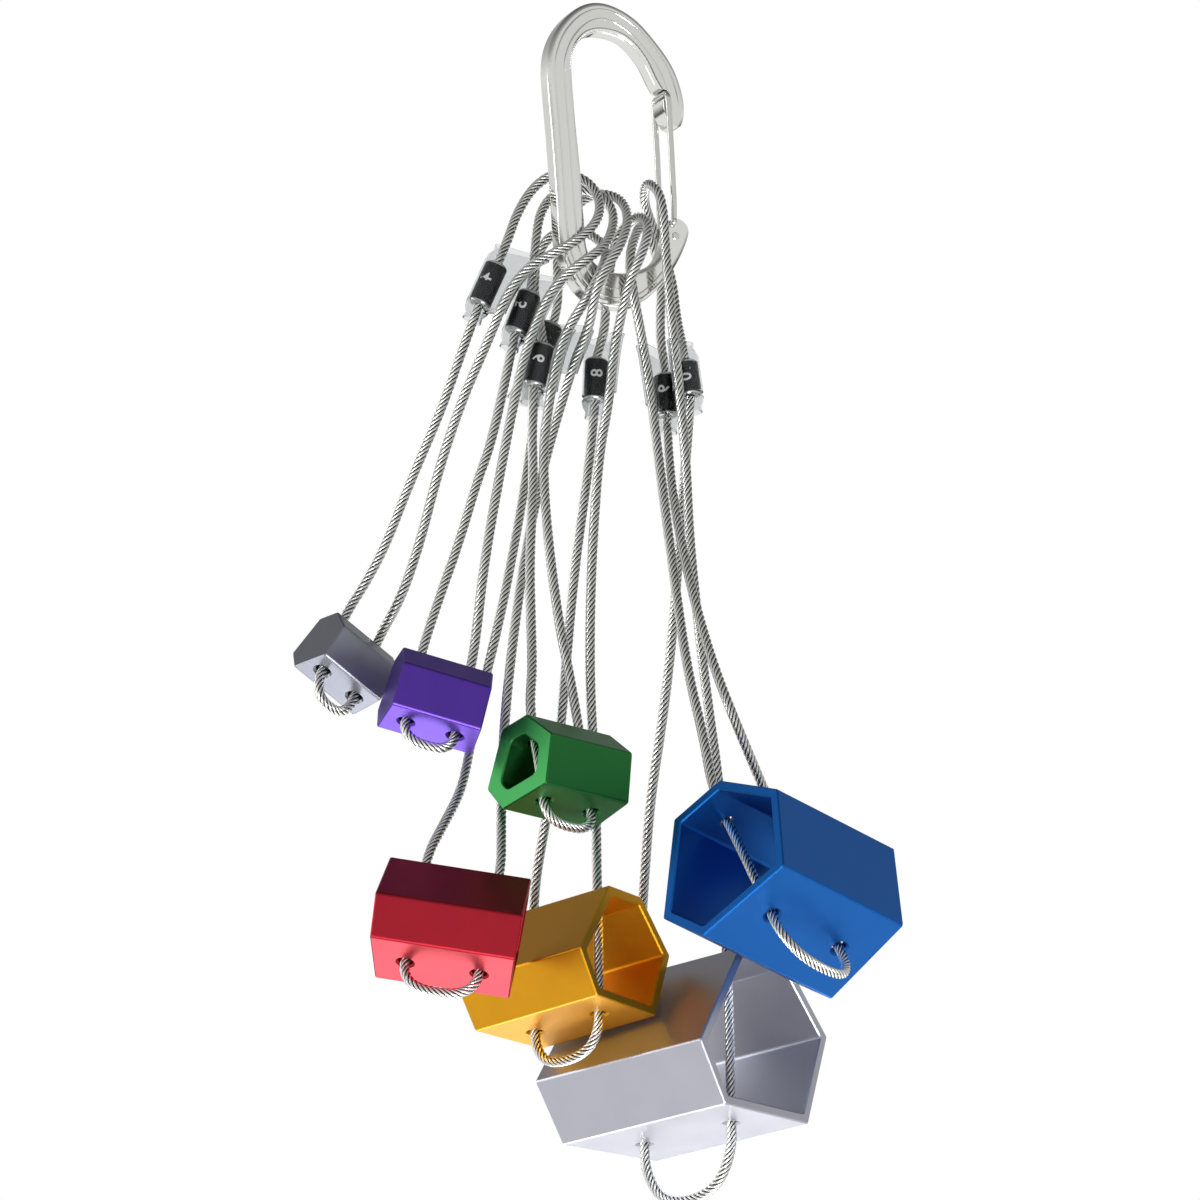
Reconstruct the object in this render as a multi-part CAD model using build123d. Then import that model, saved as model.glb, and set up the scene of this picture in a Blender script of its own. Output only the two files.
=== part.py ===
from build123d import *
from math import acos, cos, degrees, radians, sin, sqrt, tan
import os

os.makedirs("parts", exist_ok=True)

# Frame: +Z up, X to the right along the rack, Y away from the viewer, millimetres.
# The origin is where the carabiner's upper bow bears on whatever it hangs from.

# ---- wire slings ----
wireDiameter = 3.2
ferruleDiameter = 7.2
ferruleEdge = 0.7
labelThickness = 0.2
labelLength = 9.0
labelGap = 0.05
sleeveWall = 0.45
sleeveOverhang = 5.5
sleeveGapFerrule = 0.4
sleeveGapWire = 0.35
sleeveDrop7 = 7.5

# ---- chock blocks ----
boreDiameter = 4.8
countersinkExtra = 0.7
longEdgeRound = 1.2
rimBreak = 0.4
sideStep = 0.3

# ---- carabiner ----
barThickness = 6.9
barEdgeRound = 1.5
carabinerYaw = 27.0
gateWireDiameter = 1.9
gateHalfSpread = 4.9
gateBend = 1.35
gateBoreGap = 0.05
gateToeDepth = 2.0
rivetDiameter = 2.6
rivetStand = 0.3
hingeX = 24.9
hingeZ = -60.8
gateTopX = 22.6
gateTopZ = -16.4
rivetX = 26.2
rivetZ = -64.6

# ---- the seven sizes: block depth, spacing of the two wire bores, drop of the wire loop,
# wall of the hollow (0 = solid), splits of the run in a bore, how far the wire stays on the bore's
# line above the block and from what height inside it,
# block centre and the block's turns about Z, Y and X ----
chocks = {
    4: dict(depth=19.0, bores=14.0, drop=9.0, wall=0.0, splits=2, entry=6.0, inside=2.5,
            centre=(-78.8, 0, -209.8), turns=(-141.5, -26.5, 5)),
    5: dict(depth=22.5, bores=16.0, drop=6.0, wall=0.0, splits=3, entry=6.0, inside=2.5,
            centre=(-50, -20, -227.6), turns=(-168, -13.5, 10)),
    6: dict(depth=26.0, bores=19.0, drop=7.0, wall=5.5, splits=3, entry=6.5, inside=3.0,
            centre=(-11.2, -20, -250.8), turns=(-140, -1, 13)),
    7: dict(depth=32.5, bores=23.0, drop=8.5, wall=3.5, splits=3, entry=7.0, inside=4.0,
            centre=(-45.1, -29, -302.4), turns=(-1.5, 9.5, -15.5)),
    8: dict(depth=37.5, bores=27.0, drop=12.0, wall=3.0, splits=2, entry=9.0, inside=4.0,
            centre=(-9.9, 9, -306.2), turns=(-42.5, -3, -2)),
    9: dict(depth=44.5, bores=32.0, drop=16.0, wall=3.0, splits=2, entry=10.0, inside=4.0,
            centre=(56.7, -22, -287.4), turns=(-132, -8, 32.5)),
    10: dict(depth=51.5, bores=38.0, drop=21.0, wall=3.0, splits=2, entry=9.0, inside=4.0,
             centre=(27.4, 27, -330), turns=(-45, -1, 1)),
}

# Shape of every block, as shares of its depth: width, then height from the bottom face.
profile = [(0.386, 0), (-0.386, 0), (-0.598, 0.365), (-0.205, 1), (0.228, 1), (0.593, 0.576)]
halfLengthMiddle = 0.668
halfLengthLean = 0.061

# Each wire by hand: from the ferrule's top over the bar and down to its first bore ...
over = {
    4: [(-32, -10.5, -81), (-29, -9, -73), (-26, -5, -62), (-21, -0.5, -51.5), (-14, 1.5, -45.5),
        (-5, 0.5, -47.5), (0.5, -2, -54.5), (0.5, -7.5, -64.5), (-5, -12, -72.5), (-14, -15.5, -79),
        (-22.5, -16, -84), (-29, -14.5, -92.5), (-34.5, -12.5, -106.5), (-43.5, -10.5, -127.5),
        (-51, -6, -150.5), (-56, -3.5, -171), (-62, -2, -189.5)],
    5: [(-21.5, -8, -89.5), (-20.5, -7, -80.5), (-20, -5, -71), (-18.5, -1, -59.5),
        (-13.5, 3, -51.5), (-4, 5.5, -49.5), (3, 4.5, -53.5), (5.5, 2, -61.5), (3, -5.5, -72.5),
        (-4, -11, -80), (-11.5, -12, -86), (-17.5, -11.5, -95.5), (-23, -10, -109.5),
        (-27, -10, -129), (-32.5, -12, -160.5), (-36, -15, -184.5), (-37.5, -14.5, -199.5)],
    6: [(-17.5, -3.5, -105.5), (-19, -0.5, -95.5), (-20.5, 1.5, -85.5), (-20, 1, -75),
        (-15.5, 0.5, -67), (-7, 5, -63.5), (0, 4.5, -67), (3, -1.5, -73.5), (1.5, -7, -81),
        (-3, -7, -90.5), (-9.5, -6.5, -101), (-13, -5.5, -111.5), (-15.5, -4, -124.5),
        (-17.5, -3.5, -141), (-16.5, -6, -165), (-12.5, -9, -199), (-9, -9.5, -216.5)],
    7: [(-14.5, 8.5, -94.5), (-12.5, 7.5, -87.5), (-13.5, 7.5, -76.5), (-13, 8.5, -64.5),
        (-8.5, 9.5, -55), (-1, 10.5, -49), (7.5, 5, -53), (10, -2, -62.5), (7.5, -8.5, -73.5),
        (2.5, -11, -82.5), (-1, -11, -90.5), (-2.5, -6.5, -100), (-8, 1, -111),
        (-12.5, 4, -125.5), (-18, 2, -147.5), (-23.5, -5, -178.5), (-27.5, -10, -212.5),
        (-29.5, -12.5, -237.5), (-30, -13.5, -257), (-30, -18.5, -271)],
    8: [(-0.5, 8, -106.5), (2, 10, -98), (2.5, 10, -86), (4, 9.5, -73), (6.5, 9, -63.5),
        (13, 1.5, -59.5), (16.5, -5, -66), (14.5, -8, -75.5), (10, -7.5, -85.5), (7.5, -3, -95),
        (5, 1, -106), (3.5, 3, -122.5), (0.5, 5, -138), (-1.5, 6, -164.5), (-2.5, 5.5, -191),
        (-2.5, 6, -217.5), (-1, 7, -243.5), (-0.5, 4.5, -263)],
    9: [(21.5, 16, -109), (20, 17, -99), (20, 18.5, -85.5), (20.5, 19, -74.5), (17.5, 16, -64),
        (14, 10.5, -59), (11, 2.5, -69), (10, -1, -77), (11, -2, -86.5), (13.5, 2, -99),
        (16.5, 8, -115), (18.5, 8, -133), (21, 4, -156), (24.5, -3, -187), (28, -11, -216),
        (33, -16, -239.5)],
    10: [(28, 9, -107), (26.5, 14, -97.5), (25, 19.5, -87), (24, 22, -75.5), (21, 22.5, -65.5),
         (17.5, 21, -57), (14.5, 15.5, -50), (15.5, 7, -46.5), (19.5, 0.5, -52), (21, -0.5, -60.5),
         (21.5, 1, -70.5), (22.5, 1.5, -84), (24, 3, -100.5), (26, 4.5, -118.5), (28, 7, -141),
         (29, 8, -167), (31.5, 8.5, -193.5), (34.5, 10, -219.5), (38, 11.5, -245.5),
         (40.5, 13, -272)],
}

# ... and from its other bore back up to the ferrule's bottom.
back = {
    4: [(-73, -1, -183.5), (-67, -4, -172.5), (-59.5, -6, -152.5), (-49.5, -9, -129),
        (-43, -10.5, -109.5), (-38, -10.5, -95)],
    5: [(-49.5, -15, -192.5), (-45.5, -13, -180), (-42, -12, -168), (-38.5, -11.5, -155),
        (-34, -10, -141.5), (-30, -8.5, -122.5), (-26.5, -8, -103.5)],
    6: [(-21, -20.5, -225.5), (-20.5, -17, -217), (-21, -12, -200), (-21.5, -10.5, -183),
        (-21, -8, -165.5), (-20.5, -5.5, -150), (-21, -4.5, -134.5), (-20.5, -3.5, -120)],
    7: [(-48, -16, -267.5), (-42.5, -8, -254), (-40, -2, -237.5), (-36, -1, -218),
        (-31, -1.5, -196.5), (-26.5, 2, -171), (-22.5, 5, -145), (-20.5, 7.5, -126),
        (-20, 8.5, -108.5)],
    8: [(-16.5, 11.5, -259), (-12, 4.5, -234), (-10, 5.5, -208), (-7.5, 6, -178), (-4, 7, -151),
        (-2, 8, -134), (-1, 8, -121)],
    9: [(42.5, -17, -234), (35.5, -11, -212.5), (29.5, -3.5, -187.5), (25, 4.5, -162),
        (22.5, 11.5, -141), (22, 16, -123.5)],
    10: [(14.5, 34.5, -274), (16.5, 29, -247), (20.5, 22, -222.5), (23.5, 17, -197.5),
         (25.5, 14, -172), (27, 14, -149), (28.5, 11, -134), (29.5, 9, -119)],
}

# Which bore the front wire enters: 1 is the one on the block's own +X side.
firstBore = {4: -1, 5: -1, 6: -1, 7: 1, 8: 1, 9: 1, 10: 1}


def place(size):
    chock = chocks[size]
    z, y, x = chock["turns"]
    return Pos(*chock["centre"]) * Rot(0, 0, z) * Rot(0, y, 0) * Rot(x, 0, 0)


def bend(points):
    # one radius for each inner point, so every straight run keeps a tenth of its length
    radii = []
    for before, point, after in zip(points, points[1:], points[2:]):
        first = point - before
        second = after - point
        turn = radians(first.get_angle(second))
        reach = 0.45 * min(first.length, second.length)
        radii.append(reach / tan(turn / 2))
    return radii


def tube(points, diameter):
    radii = bend(points)
    path = FilletPolyline(*points, radius=radii)
    section = Plane(origin=path @ 0, z_dir=path % 0) * Circle(diameter / 2)
    return sweep(section, path=path), path, radii


def wirePoints(size):
    chock = chocks[size]
    half = chock["depth"] / 2
    reach = chock["bores"] / 2
    side = firstBore[size]
    top = half + chock["entry"]
    last = -half + chock["inside"]
    heights = [top + (last - top) * i / chock["splits"] for i in range(chock["splits"] + 1)]
    down = []
    for i, height in enumerate(heights):
        step = 0 if i in (0, chock["splits"]) else (sideStep if i % 2 else -sideStep)
        down.append((side * reach, step, height))
    low = -half - chock["drop"]
    shoulder = -half - 0.45 * chock["drop"]
    loop = [(side * reach, 0, shoulder), (side * 0.55 * reach, 0, low),
            (-side * 0.55 * reach, 0, low), (-side * reach, 0, shoulder)]
    up = [(-x, -y, z) for x, y, z in reversed(down)]
    location = place(size)
    middle = [(location * Pos(*point)).position for point in down + loop + up]
    return [Vector(*point) for point in over[size]] + middle + [Vector(*point) for point in back[size]]


def block(size):
    chock = chocks[size]
    depth = chock["depth"]
    outline = [(u * depth, (v - 0.5) * depth) for u, v in profile]
    # local X runs along the block; the sketch plane's x is local Y and its y is local Z
    sectionPlane = Plane(origin=(0, 0, 0), x_dir=(0, 1, 0), z_dir=(1, 0, 0))
    section = sectionPlane * Polygon(*outline, align=None)
    body = extrude(Pos(-depth, 0, 0) * section, amount=2 * depth, dir=(1, 0, 0))
    body = fillet(body.edges().filter_by(Axis.X), longEdgeRound)
    wide = 0.7 * depth
    near = (halfLengthMiddle + halfLengthLean * 0.7) * depth
    far = (halfLengthMiddle - halfLengthLean * 0.7) * depth
    plan = Polygon((near, -wide), (far, wide), (-far, wide), (-near, -wide), align=None)
    body = body & extrude(Pos(0, 0, -depth) * plan, amount=2 * depth, dir=(0, 0, 1))
    if chock["wall"] > 0:
        inner = offset(Polygon(*outline, align=None), amount=-chock["wall"], kind=Kind.INTERSECTION)
        inner = fillet(inner.vertices(), chock["wall"] * 0.5)
        body = body - extrude(Pos(-depth, 0, 0) * (sectionPlane * inner), amount=2 * depth,
                              dir=(1, 0, 0))
    body = chamfer(body.edges().filter_by(lambda e: abs(e.center().X) > far * 0.9), rimBreak)
    wide = boreDiameter / 2
    for side in (1, -1):
        spot = Pos(side * chock["bores"] / 2, 0, 0)
        body = body - spot * Cylinder(wide, depth * 1.2)
        for end in (1, -1):
            sink = Cone(wide if end > 0 else wide + countersinkExtra,
                        wide + countersinkExtra if end > 0 else wide, countersinkExtra)
            lift = end * (depth / 2 - countersinkExtra / 2)
            body = body - spot * Pos(0, 0, lift) * sink
    return place(size) * body


def closest(points, origin, axis):
    # where the other wire crosses the plane through origin square to the ferrule
    best = None
    for start, end in zip(points, points[1:]):
        a = (start - origin).dot(axis)
        b = (end - origin).dot(axis)
        if a * b > 0 or a == b:
            continue
        spot = start + (end - start) * (a / (a - b))
        if best is None or (spot - origin).length < (best - origin).length:
            best = spot
    return best


def band(origin, axis, other, radiusA, radiusB):
    # a loop round two circles, the first on the ferrule's axis and the second on the other wire
    gap = (other - origin).length
    plane = Plane(origin=origin, x_dir=other - origin, z_dir=axis)
    lean = acos((radiusA - radiusB) / gap)
    c, s = cos(lean), sin(lean)
    a1, a2 = (radiusA * c, radiusA * s), (radiusA * c, -radiusA * s)
    b1, b2 = (gap + radiusB * c, radiusB * s), (gap + radiusB * c, -radiusB * s)
    edges = [ThreePointArc(a1, (-radiusA, 0), a2), Line(a2, b2),
             ThreePointArc(b2, (gap + radiusB, 0), b1), Line(b1, a1)]
    return plane * make_face(edges)


def fittings(size, points):
    top, bottom = points[0], points[-1]
    axis = (top - bottom).normalized()
    length = (top - bottom).length
    middle = (top + bottom) / 2
    radius = ferruleDiameter / 2
    seat = Plane(origin=middle, z_dir=axis)
    ferrule = Cylinder(radius, length)
    ferrule = seat * chamfer(ferrule.edges(), ferruleEdge)
    inner = radius + labelGap
    label = seat * (Cylinder(inner + labelThickness, labelLength) - Cylinder(inner, labelLength * 1.1))
    outer, hollow = [], []
    innerA = radius + sleeveGapFerrule
    innerB = wireDiameter / 2 + sleeveGapWire
    legs = points[6:len(over[size])]
    for step in (-1, -0.5, 0, 0.5, 1):
        drop = sleeveDrop7 if size == 7 else 0
        origin = middle + axis * (step * (length / 2 + sleeveOverhang) - drop)
        other = closest(legs, origin, axis)
        outer.append(band(origin, axis, other, innerA + sleeveWall, innerB + sleeveWall))
        hollow.append(band(origin, axis, other, innerA, innerB))
    sleeve = loft(outer, ruled=True) - loft(hollow, ruled=True)
    return ferrule, label, sleeve


# ---- carabiner outline, in its own plane: x from the origin, z up ----
outerLine = [(28.9, -26.0), (29.9, -22.2), (29.8, -18.4), (28.6, -13.1), (25.9, -6.8), (22.0, -1.5),
             (18.0, 2.7), (12.9, 7.1), (7.4, 9.9), (1.8, 11.2), (-3.2, 10.8), (-8.7, 8.1),
             (-13.4, 3.5), (-16.9, -1.9), (-19.2, -9.0), (-19.6, -13.9), (-19.2, -21.3),
             (-17.8, -35.8), (-16.7, -49.2), (-15.7, -63.1), (-14.8, -73.6), (-12.6, -80.2),
             (-9.6, -85.2), (-6.1, -88.9), (-1.5, -91.2), (4.1, -91.7), (9.5, -90.9),
             (14.2, -88.7), (19.0, -84.5), (25.6, -76.1), (30.2, -66.9)]
innerLine = [(22.2, -61.5), (22.3, -66.8), (19.8, -73.0), (15.2, -77.0), (9.0, -79.6), (4.5, -80.2),
             (0.0, -79.4), (-3.4, -77.2), (-5.4, -73.2), (-6.1, -66.5), (-6.7, -60.0), (-7.4, -50.0),
             (-9.1, -34.3), (-10.1, -23.4), (-10.8, -14.0), (-10.4, -8.0), (-8.7, -4.2),
             (-6.0, -1.3), (-2.1, 0.6), (1.8, 1.0), (7.4, 0.1), (12.3, -3.2), (16.0, -7.7),
             (18.4, -12.0), (20.2, -14.9)]


def carabiner():
    notch = gateWireDiameter / 2 + 0.35
    notchTop = gateTopZ + notch
    notchLow = gateTopZ - notch
    outline = [
        Spline(*outerLine),
        Line((30.2, -66.9), (30.9, -63.5)),
        ThreePointArc((30.9, -63.5), (29.8, -59.9), (26.6, -58.6)),
        Line((26.6, -58.6), (24.9, -59.0)),
        Line((24.9, -59.0), (22.2, -61.5)),
        Spline(*innerLine),
        Line((20.2, -14.9), (gateTopX, notchTop)),
        ThreePointArc((gateTopX, notchTop), (gateTopX + notch, gateTopZ),
                      (gateTopX, notchLow)),
        Line((gateTopX, notchLow), (21.6, -18.6)),
        Spline((21.6, -18.6), (22.2, -22.4), (24.2, -25.6)),
        ThreePointArc((24.2, -25.6), (26.8, -27.0), (28.9, -26.0)),
    ]
    body = extrude(Pos(0, 0, -barThickness / 2) * make_face(outline), amount=barThickness)
    rim = [e for e in body.edges() if e.length > 60]
    body = fillet(rim, barEdgeRound)
    for side in (1, -1):
        toe = Pos(hingeX, hingeZ, side * (barThickness / 2 - gateToeDepth / 2))
        body = body - toe * Cylinder(gateWireDiameter / 2 + gateBoreGap, gateToeDepth + 0.5)
    body = body - Pos(rivetX, rivetZ, 0) * Cylinder(rivetDiameter / 2, barThickness * 2)
    rivet = Pos(rivetX, rivetZ, 0) * Cylinder(rivetDiameter / 2, barThickness + 2 * rivetStand)
    rivet = chamfer(rivet.edges(), 0.25)
    toeEnd = barThickness / 2 - gateToeDepth
    half = [(hingeX, hingeZ, toeEnd), (hingeX, hingeZ, gateHalfSpread),
            (hingeX - 0.1, hingeZ + 7.0, gateHalfSpread + 0.1),
            (hingeX - 0.9, hingeZ + 24, gateHalfSpread), (gateTopX + 0.5, gateTopZ - 5, gateHalfSpread),
            (gateTopX, gateTopZ, gateHalfSpread - 0.1)]
    points = [Vector(*p) for p in half] + [Vector(x, z, -y) for x, z, y in reversed(half)]
    radii = bend(points)
    radii = [min(r, 60.0) for r in radii]
    radii[0] = gateBend
    radii[-1] = gateBend
    middle = len(points) // 2 - 2
    radii[middle] = gateBend + 0.6
    radii[middle + 1] = gateBend + 0.6
    path = FilletPolyline(*points, radius=radii)
    gate = sweep(Plane(origin=path @ 0, z_dir=path % 0) * Circle(gateWireDiameter / 2), path=path)
    return body, rivet, gate


yaw = radians(carabinerYaw)
carabinerPlane = Plane(origin=(0, 0, 0), x_dir=(cos(yaw), sin(yaw), 0), z_dir=(sin(yaw), -cos(yaw), 0))

if __name__ == "__main__":
    body, rivet, gate = carabiner()
    for name, solid in (("carabiner_body", body), ("gate_rivet", rivet), ("gate_wire", gate)):
        export_step(carabinerPlane.location * solid, "parts/" + name + ".step")
        print(name, round(solid.volume, 1))
    for size in chocks:
        points = wirePoints(size)
        cable, path, radii = tube(points, wireDiameter)
        ferrule, label, sleeve = fittings(size, points)
        area = 3.14159265 * wireDiameter ** 2 / 4
        print("cable", size, "length", round(path.length, 1), "smallest radius", round(min(radii), 1),
              "volume", round(cable.volume, 1), "against", round(area * path.length, 1))
        pieces = {
            f"chock_{size}_block": block(size),
            f"sling_{size}_cable": cable,
            f"sling_{size}_ferrule": ferrule,
            f"sling_{size}_label": label,
            f"sling_{size}_sleeve": sleeve,
        }
        for name, solid in pieces.items():
            solids = solid.solids()
            print(name, len(solids), "solid", round(solid.volume, 1))
            export_step(solids[0] if len(solids) == 1 else solid, f"parts/{name}.step")
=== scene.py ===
import math

import bpy
import numpy as np
from mathutils import Matrix, Vector


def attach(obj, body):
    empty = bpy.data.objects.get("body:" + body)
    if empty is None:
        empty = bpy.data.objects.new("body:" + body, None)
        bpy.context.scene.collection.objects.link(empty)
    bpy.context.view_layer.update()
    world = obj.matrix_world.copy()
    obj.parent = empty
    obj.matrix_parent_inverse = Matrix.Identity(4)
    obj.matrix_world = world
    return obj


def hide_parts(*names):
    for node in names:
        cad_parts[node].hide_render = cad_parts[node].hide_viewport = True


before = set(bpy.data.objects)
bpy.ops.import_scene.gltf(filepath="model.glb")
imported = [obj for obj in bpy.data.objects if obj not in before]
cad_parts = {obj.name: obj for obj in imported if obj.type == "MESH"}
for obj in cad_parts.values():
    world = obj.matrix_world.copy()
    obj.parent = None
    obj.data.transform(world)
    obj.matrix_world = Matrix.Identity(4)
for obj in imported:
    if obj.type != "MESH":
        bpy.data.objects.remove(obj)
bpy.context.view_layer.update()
scene = bpy.context.scene
print("frame loaded")

mm = 0.001

# ---- camera ----
lookUp = 17.0  # degrees above level
cameraData = bpy.data.cameras.new("camera")
cameraData.sensor_width = 36.0
cameraData.lens = 232.5
cameraData.clip_end = 30.0
camera = bpy.data.objects.new("camera", cameraData)
camera.location = (0.0006, -2.3378, -0.9043)
camera.rotation_euler = (math.radians(90.0 + lookUp), 0.0, 0.0)
scene.collection.objects.link(camera)
scene.camera = camera

# ---- sizes, in millimetres ----
ropeDiameter = 3.2
ropeStrands = 6  # outer strands, each drawn as one round lobe
ropeLay = 11.0  # shorter than the real lay, so that the twist shows
ropeStep = 0.7  # between rings of the rope's mesh
strandPoints = 6
ferruleRadius = 3.6
ferruleLip = 1.2
bandThickness = 0.14
sleeveWall = 0.35
sleeveGapFerrule = 0.32
sleeveGapRope = 0.18
sleeveOverhang = 5.5
sideStep = 0.3

carabinerYaw = 27.0
barThickness = 6.9
outerEdge = [(28.9, -26.0), (29.9, -22.2), (29.8, -18.4), (28.6, -13.1), (25.9, -6.8), (22.0, -1.5),
             (18.0, 2.7), (12.9, 7.1), (7.4, 9.9), (1.8, 11.2), (-3.2, 10.8), (-8.7, 8.1),
             (-13.4, 3.5), (-16.9, -1.9), (-19.2, -9.0), (-19.6, -13.9), (-19.2, -21.3),
             (-17.8, -35.8), (-16.7, -49.2), (-15.7, -63.1), (-14.8, -73.6), (-12.6, -80.2),
             (-9.6, -85.2), (-6.1, -88.9), (-1.5, -91.2), (4.1, -91.7), (9.5, -90.9),
             (14.2, -88.7), (19.0, -84.5), (25.6, -76.1), (30.2, -66.9)]

sizes = {
    4: dict(depth=19.0, bores=14.0, drop=9.0, splits=2, entry=6.0, inside=2.5, first=-1, length=415,
            centre=(-78.8, 0, -209.8), turns=(-141.5, -26.5, 5), colour="#8E919C", drift=0.0, facing=14),
    5: dict(depth=22.5, bores=16.0, drop=6.0, splits=3, entry=6.0, inside=2.5, first=-1, length=422,
            centre=(-50, -20, -227.6), turns=(-168, -13.5, 10), colour="#5A3AA8", drift=0.0, facing=16),
    6: dict(depth=26.0, bores=19.0, drop=7.0, splits=3, entry=6.5, inside=3.0, first=-1, length=437,
            centre=(-11.2, -20, -250.8), turns=(-140, -1, 13), colour="#2F7D3F", drift=0.0, facing=0),
    7: dict(depth=32.5, bores=23.0, drop=8.5, splits=3, entry=7.0, inside=4.0, first=1, length=596,
            centre=(-45.1, -29, -302.4), turns=(-1.5, 9.5, -15.5), colour="#A3202E", drift=7.5, facing=0),
    8: dict(depth=37.5, bores=27.0, drop=12.0, splits=2, entry=9.0, inside=4.0, first=1, length=575,
            centre=(-9.9, 9, -306.2), turns=(-42.5, -3, -2), colour="#D99A1C", drift=0.0, facing=-8),
    9: dict(depth=44.5, bores=32.0, drop=16.0, splits=2, entry=10.0, inside=4.0, first=1, length=576,
            centre=(56.7, -22, -287.4), turns=(-132, -8, 32.5), colour="#1560B0", drift=0.0, facing=10),
    10: dict(depth=51.5, bores=38.0, drop=21.0, splits=2, entry=9.0, inside=4.0, first=1, length=692,
             centre=(27.4, 27, -330), turns=(-45, -1, 1), colour="#B9BAC4", drift=0.0, facing=12),
}

# Each rope's route: from the ferrule's top over the carabiner and down to the first bore ...
over = {
    4: [(-32, -10.5, -81), (-29, -9, -73), (-26, -5, -62), (-21, -0.5, -51.5), (-14, 1.5, -45.5),
        (-5, 0.5, -47.5), (0.5, -2, -54.5), (0.5, -7.5, -64.5), (-5, -12, -72.5), (-14, -15.5, -79),
        (-22.5, -16, -84), (-29, -14.5, -92.5), (-34.5, -12.5, -106.5), (-43.5, -10.5, -127.5),
        (-51, -6, -150.5), (-56, -3.5, -171), (-62, -2, -189.5)],
    5: [(-21.5, -8, -89.5), (-20.5, -7, -80.5), (-20, -5, -71), (-18.5, -1, -59.5),
        (-13.5, 3, -51.5), (-4, 5.5, -49.5), (3, 4.5, -53.5), (5.5, 2, -61.5), (3, -5.5, -72.5),
        (-4, -11, -80), (-11.5, -12, -86), (-17.5, -11.5, -95.5), (-23, -10, -109.5),
        (-27, -10, -129), (-32.5, -12, -160.5), (-36, -15, -184.5), (-37.5, -14.5, -199.5)],
    6: [(-17.5, -3.5, -105.5), (-19, -0.5, -95.5), (-20.5, 1.5, -85.5), (-20, 1, -75),
        (-15.5, 0.5, -67), (-7, 5, -63.5), (0, 4.5, -67), (3, -1.5, -73.5), (1.5, -7, -81),
        (-3, -7, -90.5), (-9.5, -6.5, -101), (-13, -5.5, -111.5), (-15.5, -4, -124.5),
        (-17.5, -3.5, -141), (-16.5, -6, -165), (-12.5, -9, -199), (-9, -9.5, -216.5)],
    7: [(-14.5, 8.5, -94.5), (-12.5, 7.5, -87.5), (-13.5, 7.5, -76.5), (-13, 8.5, -64.5),
        (-8.5, 9.5, -55), (-1, 10.5, -49), (7.5, 5, -53), (10, -2, -62.5), (7.5, -8.5, -73.5),
        (2.5, -11, -82.5), (-1, -11, -90.5), (-2.5, -6.5, -100), (-8, 1, -111),
        (-12.5, 4, -125.5), (-18, 2, -147.5), (-23.5, -5, -178.5), (-27.5, -10, -212.5),
        (-29.5, -12.5, -237.5), (-30, -13.5, -257), (-30, -18.5, -271)],
    8: [(-0.5, 8, -106.5), (2, 10, -98), (2.5, 10, -86), (4, 9.5, -73), (6.5, 9, -63.5),
        (13, 1.5, -59.5), (16.5, -5, -66), (14.5, -8, -75.5), (10, -7.5, -85.5), (7.5, -3, -95),
        (5, 1, -106), (3.5, 3, -122.5), (0.5, 5, -138), (-1.5, 6, -164.5), (-2.5, 5.5, -191),
        (-2.5, 6, -217.5), (-1, 7, -243.5), (-0.5, 4.5, -263)],
    9: [(21.5, 16, -109), (20, 17, -99), (20, 18.5, -85.5), (20.5, 19, -74.5), (17.5, 16, -64),
        (14, 10.5, -59), (11, 2.5, -69), (10, -1, -77), (11, -2, -86.5), (13.5, 2, -99),
        (16.5, 8, -115), (18.5, 8, -133), (21, 4, -156), (24.5, -3, -187), (28, -11, -216),
        (33, -16, -239.5)],
    10: [(28, 9, -107), (26.5, 14, -97.5), (25, 19.5, -87), (24, 22, -75.5), (21, 22.5, -65.5),
         (17.5, 21, -57), (14.5, 15.5, -50), (15.5, 7, -46.5), (19.5, 0.5, -52), (21, -0.5, -60.5),
         (21.5, 1, -70.5), (22.5, 1.5, -84), (24, 3, -100.5), (26, 4.5, -118.5), (28, 7, -141),
         (29, 8, -167), (31.5, 8.5, -193.5), (34.5, 10, -219.5), (38, 11.5, -245.5),
         (40.5, 13, -272)],
}

# ... and from its other bore back up to the ferrule's bottom.
back = {
    4: [(-73, -1, -183.5), (-67, -4, -172.5), (-59.5, -6, -152.5), (-49.5, -9, -129),
        (-43, -10.5, -109.5), (-38, -10.5, -95)],
    5: [(-49.5, -15, -192.5), (-45.5, -13, -180), (-42, -12, -168), (-38.5, -11.5, -155),
        (-34, -10, -141.5), (-30, -8.5, -122.5), (-26.5, -8, -103.5)],
    6: [(-21, -20.5, -225.5), (-20.5, -17, -217), (-21, -12, -200), (-21.5, -10.5, -183),
        (-21, -8, -165.5), (-20.5, -5.5, -150), (-21, -4.5, -134.5), (-20.5, -3.5, -120)],
    7: [(-48, -16, -267.5), (-42.5, -8, -254), (-40, -2, -237.5), (-36, -1, -218),
        (-31, -1.5, -196.5), (-26.5, 2, -171), (-22.5, 5, -145), (-20.5, 7.5, -126),
        (-20, 8.5, -108.5)],
    8: [(-16.5, 11.5, -259), (-12, 4.5, -234), (-10, 5.5, -208), (-7.5, 6, -178), (-4, 7, -151),
        (-2, 8, -134), (-1, 8, -121)],
    9: [(42.5, -17, -234), (35.5, -11, -212.5), (29.5, -3.5, -187.5), (25, 4.5, -162),
        (22.5, 11.5, -141), (22, 16, -123.5)],
    10: [(14.5, 34.5, -274), (16.5, 29, -247), (20.5, 22, -222.5), (23.5, 17, -197.5),
         (25.5, 14, -172), (27, 14, -149), (28.5, 11, -134), (29.5, 9, -119)],
}


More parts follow.
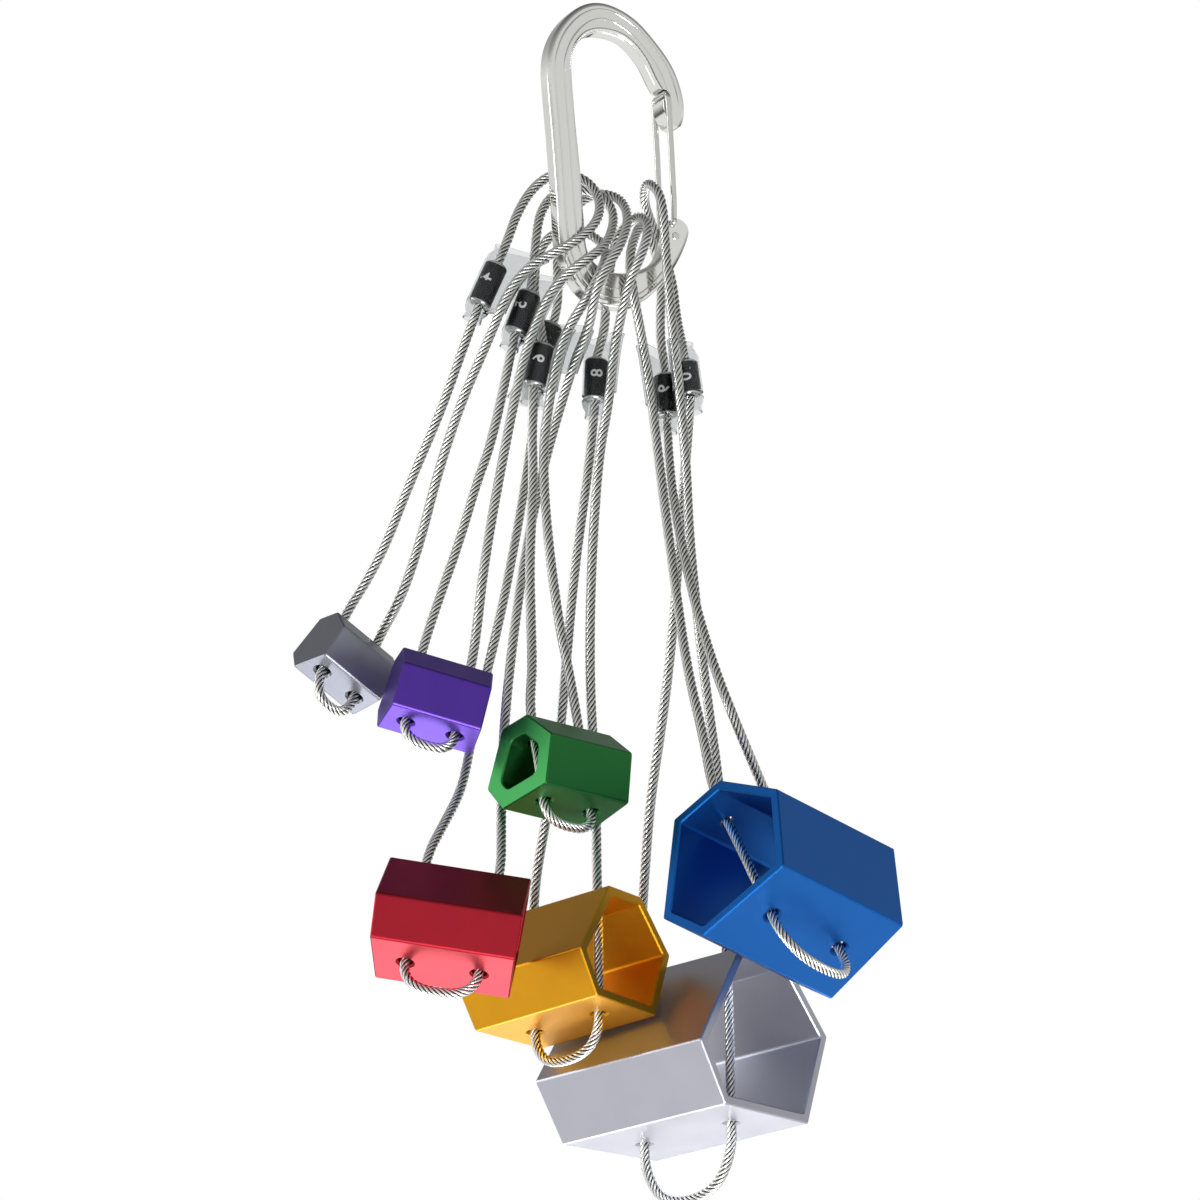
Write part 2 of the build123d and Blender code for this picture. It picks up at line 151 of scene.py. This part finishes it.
def blockMatrix(size):
    z, y, x = (math.radians(a) for a in sizes[size]["turns"])
    turn = Matrix.Rotation(z, 4, "Z") @ Matrix.Rotation(y, 4, "Y") @ Matrix.Rotation(x, 4, "X")
    return Matrix.Translation(Vector(sizes[size]["centre"])) @ turn


def routePoints(size):
    data = sizes[size]
    half, reach, side = data["depth"] / 2, data["bores"] / 2, data["first"]
    top, last = half + data["entry"], -half + data["inside"]
    down = []
    for i in range(data["splits"] + 1):
        height = top + (last - top) * i / data["splits"]
        step = 0 if i in (0, data["splits"]) else (sideStep if i % 2 else -sideStep)
        down.append((side * reach, step, height))
    low, shoulder = -half - data["drop"], -half - 0.45 * data["drop"]
    loop = [(side * reach, 0, shoulder), (side * 0.55 * reach, 0, low),
            (-side * 0.55 * reach, 0, low), (-side * reach, 0, shoulder)]
    up = [(-x, -y, z) for x, y, z in reversed(down)]
    place = blockMatrix(size)
    return over[size] + [tuple(place @ Vector(p)) for p in down + loop + up] + back[size]


def smoothLine(points):
    # the route's NURBS line, read back as points in metres
    curve = bpy.data.curves.new("route", "CURVE")
    curve.dimensions = "3D"
    spline = curve.splines.new("NURBS")
    spline.points.add(len(points) - 1)
    for item, point in zip(spline.points, points):
        item.co = (point[0] * mm, point[1] * mm, point[2] * mm, 1.0)
    spline.order_u = 3
    spline.use_endpoint_u = True
    spline.resolution_u = 20
    holder = bpy.data.objects.new("route", curve)
    scene.collection.objects.link(holder)
    bpy.context.view_layer.update()
    mesh = bpy.data.meshes.new_from_object(holder.evaluated_get(bpy.context.evaluated_depsgraph_get()))
    line = np.array([v.co for v in mesh.vertices])
    bpy.data.objects.remove(holder)
    bpy.data.curves.remove(curve)
    bpy.data.meshes.remove(mesh)
    return line


def evenly(line, step):
    lengths = np.concatenate([[0], np.cumsum(np.linalg.norm(np.diff(line, axis=0), axis=1))])
    count = max(2, int(round(lengths[-1] / step)) + 1)
    places = np.linspace(0, lengths[-1], count)
    return np.stack([np.interp(places, lengths, line[:, i]) for i in range(3)], 1), places


def carried(points):
    # directions along a line with a side vector carried along it without twist
    ahead = np.gradient(points, axis=0)
    ahead /= np.linalg.norm(ahead, axis=1)[:, None]
    side = np.cross(ahead[0], (0, 0, 1.0))
    if np.linalg.norm(side) < 0.2:
        side = np.cross(ahead[0], (0, 1.0, 0))
    side /= np.linalg.norm(side)
    sides = []
    for direction in ahead:
        side = side - direction * (side @ direction)
        side /= np.linalg.norm(side)
        sides.append(side.copy())
    sides = np.array(sides)
    return ahead, sides, np.cross(ahead, sides)


def ringMesh(name, rings, closedEnds=True, loop=False):
    rings = np.asarray(rings)
    count, around = rings.shape[:2]
    faces = []
    last = count if loop else count - 1
    for i in range(last):
        a, b = i * around, ((i + 1) % count) * around
        for j in range(around):
            k = (j + 1) % around
            faces.append((a + j, a + k, b + k, b + j))
    if closedEnds and not loop:
        faces.append(tuple(range(around - 1, -1, -1)))
        faces.append(tuple((count - 1) * around + j for j in range(around)))
    mesh = bpy.data.meshes.new(name)
    mesh.from_pydata([tuple(p) for p in rings.reshape(-1, 3)], [], faces)
    mesh.update()
    return mesh


def addPiece(name, mesh, materials, body, node=None, smooth=True, angle=None):
    piece = bpy.data.objects.new(name, mesh)
    for item in materials:
        mesh.materials.append(item)
    scene.collection.objects.link(piece)
    mesh.polygons.foreach_set("use_smooth", [smooth] * len(mesh.polygons))
    if angle:
        mesh.set_sharp_from_angle(angle=math.radians(angle))
    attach(piece, body)
    if node:
        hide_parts(node)
    return piece


# ---- materials ----
def linear(text):
    values = [int(text[i:i + 2], 16) / 255 for i in (1, 3, 5)]
    return [v / 12.92 if v <= 0.04045 else ((v + 0.055) / 1.055) ** 2.4 for v in values] + [1.0]


def node(tree, kind, links=(), **settings):
    item = tree.nodes.new(kind)
    for key, value in settings.items():
        if key.startswith("in_"):
            item.inputs[key[3:].replace("_", " ")].default_value = value
        else:
            setattr(item, key, value)
    for source, target in links:
        tree.links.new(source, item.inputs[target])
    return item


def makeMaterial(name, colour, metallic, roughness, **more):
    item = bpy.data.materials.new(name)
    item.use_nodes = True
    shader = item.node_tree.nodes["Principled BSDF"]
    shader.inputs["Base Color"].default_value = linear(colour)
    shader.inputs["Metallic"].default_value = metallic
    shader.inputs["Roughness"].default_value = roughness
    for key, value in more.items():
        shader.inputs[key.replace("_", " ")].default_value = value
    return item


def addGrain(item, scale, depth, spread=0.0, colourSpread=0.0):
    # fine noise as bump, with a slow drift of roughness and of colour
    tree = item.node_tree
    shader = tree.nodes["Principled BSDF"]
    place = node(tree, "ShaderNodeTexCoord")
    grain = node(tree, "ShaderNodeTexNoise", [(place.outputs["Object"], "Vector")],
                 in_Scale=scale, in_Detail=3.0, in_Roughness=0.6)
    bump = node(tree, "ShaderNodeBump", [(grain.outputs["Fac"], "Height")],
                in_Strength=0.5, in_Distance=depth)
    tree.links.new(bump.outputs["Normal"], shader.inputs["Normal"])
    if spread or colourSpread:
        slow = node(tree, "ShaderNodeTexNoise", [(place.outputs["Object"], "Vector")],
                    in_Scale=scale * 0.04, in_Detail=4.0, in_Roughness=0.6)
    if spread:
        base = shader.inputs["Roughness"].default_value
        rough = node(tree, "ShaderNodeMapRange", [(slow.outputs["Fac"], "Value")])
        rough.inputs["To Min"].default_value = base - spread
        rough.inputs["To Max"].default_value = base + spread
        tree.links.new(rough.outputs["Result"], shader.inputs["Roughness"])
    if colourSpread:
        colour = list(shader.inputs["Base Color"].default_value)
        mix = node(tree, "ShaderNodeMix", [(slow.outputs["Fac"], 0)], data_type="RGBA")
        mix.inputs[6].default_value = [c * (1 - colourSpread) for c in colour[:3]] + [1.0]
        mix.inputs[7].default_value = [min(1.0, c * (1 + colourSpread)) for c in colour[:3]] + [1.0]
        tree.links.new(mix.outputs[2], shader.inputs["Base Color"])
    return item


# satin anodised aluminium, one colour for each size
anodised = {size: addGrain(makeMaterial(f"anodised_{size}", data["colour"], 0.9, 0.36),
                           1800.0, 0.00002, 0.05, 0.06) for size, data in sizes.items()}
# mirror-polished aluminium of the carabiner, and the polished steel wire of its gate
polished = addGrain(makeMaterial("polished_alloy", "#EDEDE8", 1.0, 0.13), 900.0, 0.000004, 0.04)
gateSteel = makeMaterial("gate_steel", "#D8D8D4", 1.0, 0.16)
# galvanised wire strands, bright on their crests; the grooves between them are darkened nearly black as
# painted shade
ropeSteel = addGrain(makeMaterial("rope_steel", "#C8C8C3", 1.0, 0.3), 2500.0, 0.00001, 0.06)
ropeTree = ropeSteel.node_tree
crestValue = node(ropeTree, "ShaderNodeAttribute", attribute_name="crest")
grooveShadeRamp = node(ropeTree, "ShaderNodeValToRGB", [(crestValue.outputs["Fac"], "Fac")])
grooveShadeRamp.color_ramp.elements[0].position = 0.36
grooveShadeRamp.color_ramp.elements[0].color = linear("#1A1A18")
grooveShadeRamp.color_ramp.elements[1].position = 0.78
grooveShadeRamp.color_ramp.elements[1].color = linear("#EEEEEA")
ropeTree.links.new(grooveShadeRamp.outputs["Color"], ropeTree.nodes["Principled BSDF"].inputs["Base Color"])
ferruleMetal = addGrain(makeMaterial("ferrule_metal", "#BDBDBC", 1.0, 0.28), 1200.0, 0.00001, 0.05)
# matt black film with white print
bandBlack = makeMaterial("band_black", "#19191C", 0.0, 0.42)
printWhite = makeMaterial("print_white", "#F2F2F0", 0.0, 0.5)
# clear shrink tube, a little grey
shrinkClear = addGrain(makeMaterial("shrink_clear", "#E4E6E6", 0.0, 0.1, Transmission_Weight=1.0, IOR=1.15),
                       450.0, 0.00012)
print("materials made")


# ---- cords: the wire ropes ----
def makeRope(size):
    line, places = evenly(smoothLine(routePoints(size)), ropeStep * mm)
    ahead, side, other = carried(line)
    spread = math.sin(math.pi / ropeStrands)
    core = ropeDiameter / 2 / (1 + spread)
    strand = core * spread
    around = []
    for i in range(ropeStrands):
        for j in range(strandPoints):
            offset = (j / strandPoints - 0.5) * 2 * math.pi / ropeStrands
            reach = core * math.cos(offset)
            reach += math.sqrt(max(0.0, strand ** 2 - (core * math.sin(offset)) ** 2))
            around.append((2 * math.pi * i / ropeStrands + offset, reach * mm))
    around = np.array(around)
    turn = places[:, None] / (ropeLay * mm) * 2 * math.pi + around[None, :, 0]
    rings = line[:, None, :] + around[None, :, 1, None] * (
        np.cos(turn)[..., None] * side[:, None, :] + np.sin(turn)[..., None] * other[:, None, :])
    mesh = ringMesh(f"sling_{size}_rope", rings)
    # crest runs from 0 in the grooves to 1 on the crests and drives the painted shade in the rope's grooves
    low, high = around[:, 1].min(), around[:, 1].max()
    crest = mesh.attributes.new("crest", "FLOAT", "POINT")
    crest.data.foreach_set("value", np.tile((around[:, 1] - low) / (high - low), len(line)))
    rope = addPiece(f"sling_{size}_rope", mesh, [ropeSteel], f"sling_{size}",
                    f"sling_{size}_cable", angle=50)
    return rope, line


def lathe(name, profile, middle, axis, across, segments=64):
    # profile: closed list of (radius, height along the axis)
    other = np.cross(axis, across)
    angles = np.arange(segments) / segments * 2 * math.pi
    directions = np.cos(angles)[:, None] * across + np.sin(angles)[:, None] * other
    rings = [[middle + axis * h + direction * r for r, h in profile] for direction in directions]
    return ringMesh(name, rings, loop=True)


def crossing(line, origin, axis, skip):
    # where the rope's other leg crosses the plane through origin
    distances = (line - origin) @ axis
    best = None
    for i in range(skip, len(line) - 1):
        if distances[i] * distances[i + 1] > 0:
            continue
        share = distances[i] / (distances[i] - distances[i + 1])
        spot = line[i] + (line[i + 1] - line[i]) * share
        gap = np.linalg.norm(spot - origin)
        if gap < 0.02 and (best is None or gap < np.linalg.norm(best - origin)):
            best = spot
    return best


def hullRing(origin, across, gap, axis, radiusA, radiusB):
    # a taut loop round the ferrule's circle and the rope's circle
    other = np.cross(axis, across)
    lean = math.acos(max(-0.999, min(0.999, (radiusA - radiusB) / gap)))
    flat = []
    for t in np.linspace(lean, 2 * math.pi - lean, 26):
        flat.append((radiusA * math.cos(t), radiusA * math.sin(t)))
    start, end = flat[-1], (gap + radiusB * math.cos(-lean), radiusB * math.sin(-lean))
    pinch = 0.16 * min(radiusA, radiusB)
    for t in np.linspace(0, 1, 8)[1:-1]:
        dip = pinch * math.sin(math.pi * t) ** 2
        flat.append((start[0] + (end[0] - start[0]) * t, start[1] + (end[1] - start[1]) * t + dip))
    for t in np.linspace(-lean, lean, 18):
        flat.append((gap + radiusB * math.cos(t), radiusB * math.sin(t)))
    start, end = flat[-1], flat[0]
    for t in np.linspace(0, 1, 8)[1:-1]:
        dip = pinch * math.sin(math.pi * t) ** 2
        flat.append((start[0] + (end[0] - start[0]) * t, start[1] + (end[1] - start[1]) * t - dip))
    return [origin + across * x + other * y for x, y in flat]


def makeFittings(size, line):
    points = routePoints(size)
    top, bottom = np.array(points[0]) * mm, np.array(points[-1]) * mm
    axis = (top - bottom) / np.linalg.norm(top - bottom)
    length = np.linalg.norm(top - bottom)
    middle = (top + bottom) / 2
    right = np.cross(axis, (0.0, -1.0, 0.0))
    right = -right / np.linalg.norm(right)
    toward = np.cross(right, axis)
    if toward[1] > 0:
        toward = -toward
    radius, half, lip = ferruleRadius * mm, length / 2, ferruleLip * mm
    bore = ropeDiameter / 2 * mm * 0.8
    profile = [(bore, -half), (radius - lip, -half)]
    for t in np.linspace(0, math.pi / 2, 6):
        profile.append((radius - lip + lip * math.sin(t), -half + lip - lip * math.cos(t)))
    profile += [(r, -h) for r, h in reversed(profile[1:])] + [(bore, half)]
    barrel = lathe(f"sling_{size}_barrel", profile[::-1], middle, axis, toward)
    ferrule = addPiece(f"sling_{size}_barrel", barrel, [ferruleMetal], f"sling_{size}",
                       f"sling_{size}_ferrule", angle=40)
    bandHalf = half - lip * 0.9
    inner, outer = radius + 0.01 * mm, radius + bandThickness * mm
    profile = [(outer, -bandHalf), (outer, bandHalf), (inner, bandHalf), (inner, -bandHalf)]
    band = addPiece(f"sling_{size}_band", lathe(f"sling_{size}_band", profile, middle, axis, toward),
                    [bandBlack], f"sling_{size}", f"sling_{size}_label", angle=40)
    # the size number, wrapped round the band and read down the ferrule
    words = bpy.data.curves.new("number", "FONT")
    words.body = str(size)
    words.size = 5.4 * mm
    words.align_x, words.align_y = "CENTER", "CENTER"
    words.extrude = 0.03 * mm
    words.offset = 0.08 * mm
    words.resolution_u = 6
    holder = bpy.data.objects.new("number", words)
    scene.collection.objects.link(holder)
    bpy.context.view_layer.update()
    mesh = bpy.data.meshes.new_from_object(holder.evaluated_get(bpy.context.evaluated_depsgraph_get()))
    bpy.data.objects.remove(holder)
    bpy.data.curves.remove(words)
    mesh.name = f"sling_{size}_number"
    for vertex in mesh.vertices:
        x, y, z = vertex.co
        angle = y / outer + math.radians(sizes[size]["facing"])
        reach = outer + 0.035 * mm + z
        spot = middle + axis * (half * 0.18 - x)
        spot = spot + (toward * math.cos(angle) + right * math.sin(angle)) * reach
        vertex.co = spot
    number = addPiece(f"sling_{size}_number", mesh, [printWhite], f"sling_{size}",
                      smooth=False)
    outerRings, innerRings = [], []
    a, b = radius + sleeveGapFerrule * mm, ropeDiameter / 2 * mm + sleeveGapRope * mm
    wall = sleeveWall * mm
    stations = np.linspace(-1, 1, 15)
    reachOut = half + sleeveOverhang * mm
    skip = int(len(line) * 0.06)  # past the leg that leaves the ferrule
    for t in stations:
        origin = middle + axis * (t * reachOut - sizes[size]["drift"] * mm)
        spot = crossing(line, origin, axis, skip)
        across = spot - origin
        gap = np.linalg.norm(across)
        across = across / gap
        past = max(0.0, abs(t * reachOut - sizes[size]["drift"] * mm) - half) / (sleeveOverhang * mm)
        shrink = 1 - 0.34 * min(1.0, past * 1.6) ** 2
        flare = 0.25 * mm * max(0.0, past - 0.75) / 0.25
        outerRings.append(hullRing(origin, across, gap, axis, a * shrink + wall + flare, b + wall + flare))
        innerRings.append(hullRing(origin, across, gap, axis, a * shrink + flare, b + flare))
    mesh = ringMesh(f"sling_{size}_shrink", outerRings + innerRings[::-1], loop=True)
    shrink = addPiece(f"sling_{size}_shrink", mesh, [shrinkClear], f"sling_{size}",
                      f"sling_{size}_sleeve", angle=50)
    return [ferrule, band, number, shrink]


for size, data in sizes.items():
    rope, line = makeRope(size)
    fittings = makeFittings(size, line)
    measured = float(np.linalg.norm(np.diff(line, axis=0), axis=1).sum())
    print("rope", size, "measures", round(measured / mm), "of", data["length"])
print("slings made")

# ---- chocks, carabiner and gate ----
def dress(name, item):
    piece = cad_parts[name]
    piece.data.materials.clear()
    piece.data.materials.append(item)


for size in sizes:
    dress(f"chock_{size}_block", anodised[size])
dress("carabiner_body", polished)


def ribPath(offset):
    # a line beside the carabiner's outer edge, a set distance inwards
    line = np.array(outerEdge, float)
    smooth = smoothLine([(x, 0, z) for x, z in line])[:, [0, 2]] / mm
    ahead = np.gradient(smooth, axis=0)
    ahead /= np.linalg.norm(ahead, axis=1)[:, None]
    return smooth + np.stack([ahead[:, 1], -ahead[:, 0]], 1) * -offset


def makeRib(name, offset, width, height, trim):
    flat = ribPath(offset)
    count = len(flat)
    flat = flat[int(count * trim[0]):int(count * trim[1])]
    flat, _ = evenly(np.stack([flat[:, 0], np.zeros(len(flat)), flat[:, 1]], 1), 0.8)
    ahead = np.gradient(flat, axis=0)
    ahead /= np.linalg.norm(ahead, axis=1)[:, None]
    inPlane = np.stack([-ahead[:, 2], np.zeros(len(flat)), ahead[:, 0]], 1)
    meshes = []
    for face in (1, -1):
        rings = []
        for i, (point, across) in enumerate(zip(flat, inPlane)):
            fade = min(1.0, i / 8, (len(flat) - 1 - i) / 8) * 0.98 + 0.02
            ring = []
            for t in np.linspace(0, 2 * math.pi, 10, endpoint=False):
                x, _, z = point + across * (width / 2 * math.cos(t) * fade)
                ring.append(inCarabiner(x, z, face * (barThickness / 2 + height * math.sin(t) * fade)))
            rings.append(ring if face > 0 else ring[::-1])
        meshes.append(ringMesh(name, rings))
    for side, mesh in zip(("front", "back"), meshes):
        addPiece(f"{name}_{side}", mesh, [polished], "carabiner", angle=60)


def inCarabiner(x, z, out):
    yaw = math.radians(carabinerYaw)
    return ((x * math.cos(yaw) + out * math.sin(yaw)) * mm,
            (x * math.sin(yaw) - out * math.cos(yaw)) * mm, z * mm)


makeRib("lip_outer", 2.4, 0.55, 0.3, (0.03, 0.985))
makeRib("lip_inner", 5.6, 0.55, 0.3, (0.07, 0.93))
dress("gate_rivet", gateSteel)
dress("gate_wire", gateSteel)
print("metalwork dressed")

# ---- floor, light and backdrop ----
floorMaterial = makeMaterial("floor_pale", "#E8E8E6", 0.0, 0.7)
floorTree = floorMaterial.node_tree
floorRay = node(floorTree, "ShaderNodeLightPath")
floorGlow = node(floorTree, "ShaderNodeEmission", in_Color=(1.0, 1.0, 1.0, 1.0), in_Strength=0.85)
floorSeen = node(floorTree, "ShaderNodeMath", [(floorRay.outputs["Is Camera Ray"], 0)],
                 operation="MULTIPLY")
floorSeen.inputs[1].default_value = 0.75  # the rest of what the camera sees is the shadow
floorWhite = node(floorTree, "ShaderNodeMath", [(floorSeen.outputs[0], 0),
                  (floorRay.outputs["Is Glossy Ray"], 1)], operation="MAXIMUM")
floorMix = node(floorTree, "ShaderNodeMixShader", [(floorWhite.outputs[0], 0),
                (floorTree.nodes["Principled BSDF"].outputs[0], 1), (floorGlow.outputs[0], 2)])
floorTree.links.new(floorMix.outputs[0], floorTree.nodes["Material Output"].inputs["Surface"])
floorMesh = bpy.data.meshes.new("floor")
floorReach, floorHeight = 15, -1.3
corners = [(-1, -1), (1, -1), (1, 1), (-1, 1)]
floorMesh.from_pydata([(x * floorReach, y * floorReach, floorHeight) for x, y in corners], [], [(0, 1, 2, 3)])
floorMesh.materials.append(floorMaterial)
floor = bpy.data.objects.new("floor", floorMesh)
scene.collection.objects.link(floor)


def areaLight(name, place, aim, power, width, height):
    data = bpy.data.lights.new(name, "AREA")
    data.shape = "RECTANGLE"
    data.size, data.size_y, data.energy = width, height, power
    lamp = bpy.data.objects.new(name, data)
    lamp.location = place
    lamp.rotation_euler = (Vector(aim) - Vector(place)).to_track_quat("-Z", "Y").to_euler()
    scene.collection.objects.link(lamp)


centre = (0.0, 0.0, -0.18)
areaLight("low_front", (0.1, -0.6, -1.15), (0.0, 0.0, -0.26), 12.0, 0.6, 0.5)
areaLight("low_back", (-0.1, 0.7, -1.05), (0.0, 0.0, -0.26), 5.0, 0.8, 0.5)
areaLight("side_left", (-1.3, 0.1, -0.1), centre, 4.0, 0.4, 0.9)

world = bpy.data.worlds.new("studio")
scene.world = world
world.use_nodes = True
tree = world.node_tree
tree.nodes.clear()
ray = node(tree, "ShaderNodeLightPath")
look = node(tree, "ShaderNodeTexCoord")
split = node(tree, "ShaderNodeSeparateXYZ", [(look.outputs["Generated"], "Vector")])
bands = node(tree, "ShaderNodeValToRGB")
height = node(tree, "ShaderNodeMapRange", [(split.outputs["Z"], "Value")])
height.inputs["From Min"].default_value = -1.0
tree.links.new(height.outputs["Result"], bands.inputs["Fac"])
# what polished metal reflects, from straight down to straight up: dark at the horizon
stops = [(0.0, 0.8), (0.3, 0.7), (0.42, 0.16), (0.5, 0.07), (0.57, 0.4), (0.65, 0.82),
         (0.78, 0.35), (1.0, 0.12)]
ramp = bands.color_ramp
while len(ramp.elements) < len(stops):
    ramp.elements.new(0.5)
for element, (place, level) in zip(ramp.elements, stops):
    element.position = place
    element.color = (level, level, level, 1.0)
studio = node(tree, "ShaderNodeBackground", [(bands.outputs["Color"], "Color")], in_Strength=1.0)
plain = node(tree, "ShaderNodeBackground", in_Color=(0.8, 0.8, 0.8, 1.0), in_Strength=0.5)
white = node(tree, "ShaderNodeBackground", in_Color=(1.0, 1.0, 1.0, 1.0), in_Strength=1.0)
seen = node(tree, "ShaderNodeMath", [(ray.outputs["Is Camera Ray"], 0),
                                     (ray.outputs["Is Transmission Ray"], 1)], operation="MAXIMUM")
glossy = node(tree, "ShaderNodeMixShader", [(ray.outputs["Is Glossy Ray"], 0), (plain.outputs[0], 1),
                                            (studio.outputs[0], 2)])
final = node(tree, "ShaderNodeMixShader", [(seen.outputs[0], 0), (glossy.outputs[0], 1),
                                           (white.outputs[0], 2)])
node(tree, "ShaderNodeOutputWorld", [(final.outputs[0], "Surface")])

scene.view_settings.view_transform = "Standard"
print("stage set")
